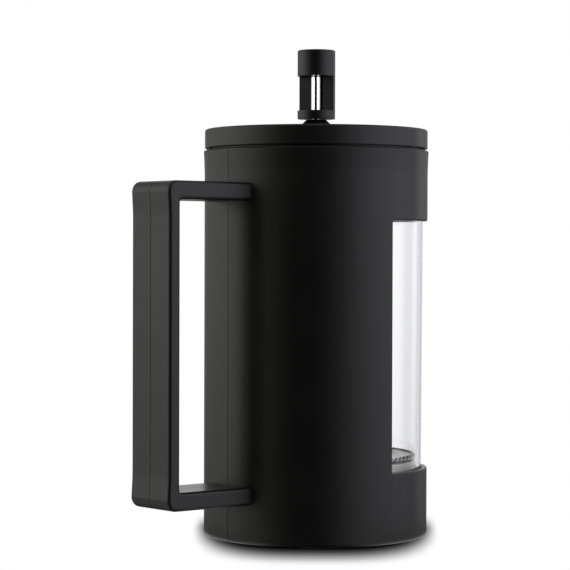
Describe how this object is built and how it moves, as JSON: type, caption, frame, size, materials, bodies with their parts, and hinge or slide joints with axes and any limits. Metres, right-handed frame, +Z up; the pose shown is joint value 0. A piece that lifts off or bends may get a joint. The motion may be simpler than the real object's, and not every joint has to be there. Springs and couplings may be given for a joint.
{
  "type": "french press",
  "caption": "French press: glass beaker in a moulded sleeve with an open front and a square D handle, flat lid, and a sprung plunger with a cylindrical knob.",
  "frame": {"origin": "centre of the resting face, on the axis of the plunger", "axes": "+Z up along the plunger, -X towards the handle, +X towards the pouring spout"},
  "size_m": [0.1499, 0.1018, 0.2191],
  "materials": {
    "black_plastic": "fine textured moulding",
    "liner_plastic": "smooth moulding",
    "bush_plastic": "smooth moulding",
    "grey_rubber": "matte",
    "black_rubber": "matte",
    "clear_silicone": "translucent matte",
    "beaker_glass": "clear, fire polished rim",
    "polished_steel": "polished",
    "stamped_steel": "bright rolled sheet",
    "spring_steel": "bright drawn wire",
    "mesh_steel": "fine woven mesh",
    "insert_brass": "turned"
  },
  "bodies": {
    "sleeve_body": {"sleeve": "black_plastic", "foot_pad": "grey_rubber", "beaker_cushion": "clear_silicone"},
    "beaker": {"glass_beaker": "beaker_glass"},
    "seal": {"lid_seal": "black_rubber"},
    "lid": {"lid_cover": "black_plastic", "lid_liner": "liner_plastic", "pour_strainer": "stamped_steel"},
    "bush": {"rod_bush": "bush_plastic"},
    "plunger": {"plunger_rod": "polished_steel", "knob": "black_plastic", "knob_insert": "insert_brass", "rod_collar": "polished_steel", "spring_plate": "stamped_steel", "filter_spring": "spring_steel", "mesh_screen": "mesh_steel", "cross_plate": "stamped_steel", "hub_nut": "polished_steel"}
  },
  "joints": [
    {"name": "beaker_lift", "type": "slide", "parent": "sleeve_body", "child": "beaker", "axis": [0, 0, 1], "range_m": [0, 0.175]},
    {"name": "lid_lift", "type": "slide", "parent": "beaker", "child": "seal", "axis": [0, 0, 1], "range_m": [0, 0.16]},
    {"name": "lid_turn", "type": "hinge", "parent": "seal", "child": "lid", "pos_m": [0, 0, 0.174], "axis": [0, 0, 1], "continuous": true},
    {"name": "plunger_spin", "type": "hinge", "parent": "lid", "child": "bush", "pos_m": [0, 0, 0.18], "axis": [0, 0, 1], "continuous": true},
    {"name": "plunger_slide", "type": "slide", "parent": "bush", "child": "plunger", "axis": [0, 0, 1], "range_m": [0, 0.119]}
  ]
}
